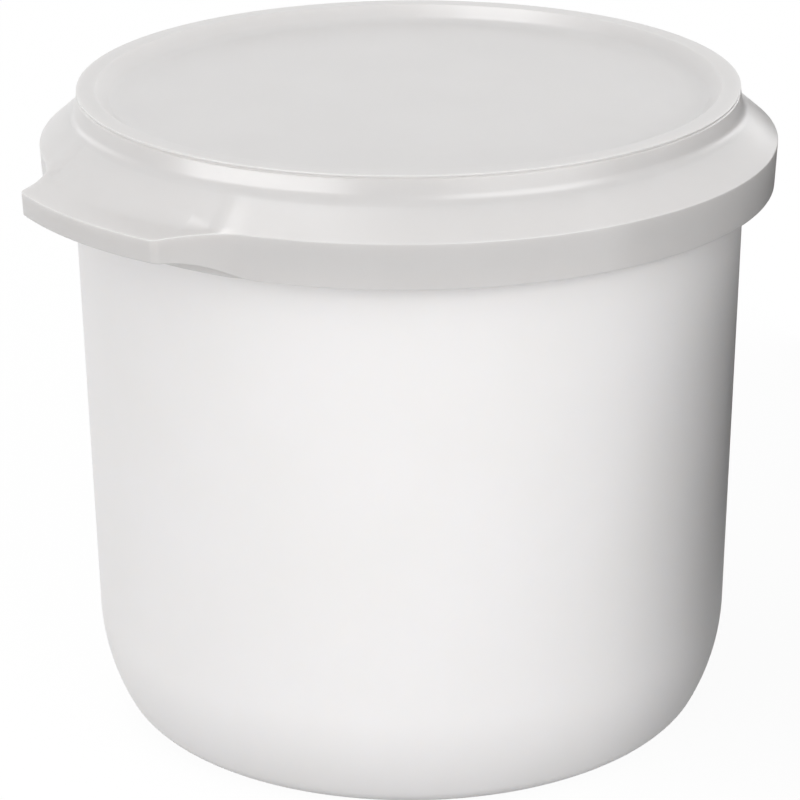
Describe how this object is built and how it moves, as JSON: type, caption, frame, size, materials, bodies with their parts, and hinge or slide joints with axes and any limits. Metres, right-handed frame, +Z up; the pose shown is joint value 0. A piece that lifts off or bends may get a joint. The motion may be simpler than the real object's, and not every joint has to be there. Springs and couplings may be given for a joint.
{
  "type": "yogurt maker pot",
  "caption": "Round white plastic pot of a yogurt maker with a straight tapered wall, a rounded base and a frosted push-on lid with a raised ring and a pull tab.",
  "frame": {"origin": "on the pot's axis, in the plane of the ring that the pot stands on", "axes": "+Z up along the pot's axis, -Y towards the lid's pull tab, +X to the right of the tab as one faces it"},
  "size_m": [0.1342, 0.1426, 0.1196],
  "materials": {
    "pot_plastic": "semi-gloss white polypropylene, slightly translucent",
    "lid_plastic": "frosted natural polyethylene with a satin skin"
  },
  "bodies": {
    "pot_body": {"pot": "pot_plastic"},
    "lid_body": {"lid": "lid_plastic"}
  },
  "joints": [
    {"name": "lid_lift", "type": "slide", "parent": "pot_body", "child": "lid_body", "axis": [0, 0, 1], "range_m": [0, 0.06]}
  ]
}
